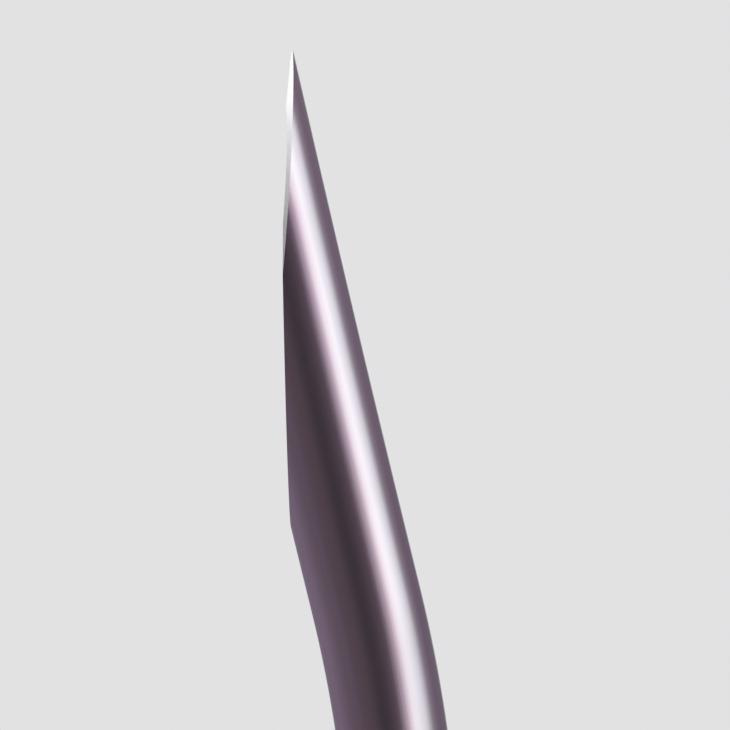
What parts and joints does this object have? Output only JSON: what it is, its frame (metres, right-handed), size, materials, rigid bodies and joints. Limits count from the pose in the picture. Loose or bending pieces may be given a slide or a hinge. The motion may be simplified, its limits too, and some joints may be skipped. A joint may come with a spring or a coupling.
{
  "type": "huber needle",
  "caption": "Straight non-coring port needle: bent cannula with a side-facing lancet bevel, bonded into a ribbed Luer-lock hub.",
  "frame": {"origin": "centre of the hub's open mouth, on the face that the needle stands on", "axes": "+Z along the shaft towards the point; the cannula bends and its bevel faces towards -X; the locking lugs are on +X and -X"},
  "size_m": [0.0078, 0.0068, 0.0405],
  "materials": {
    "cannula_steel": "drawn and fine-ground medical stainless steel, softly polished",
    "hub_plastic": "moulded cream polypropylene, slightly translucent, satin gloss",
    "adhesive_resin": "clear cured adhesive, glossy meniscus"
  },
  "bodies": {
    "root": {"cannula": "cannula_steel", "hub": "hub_plastic", "adhesive": "adhesive_resin"}
  },
  "joints": []
}
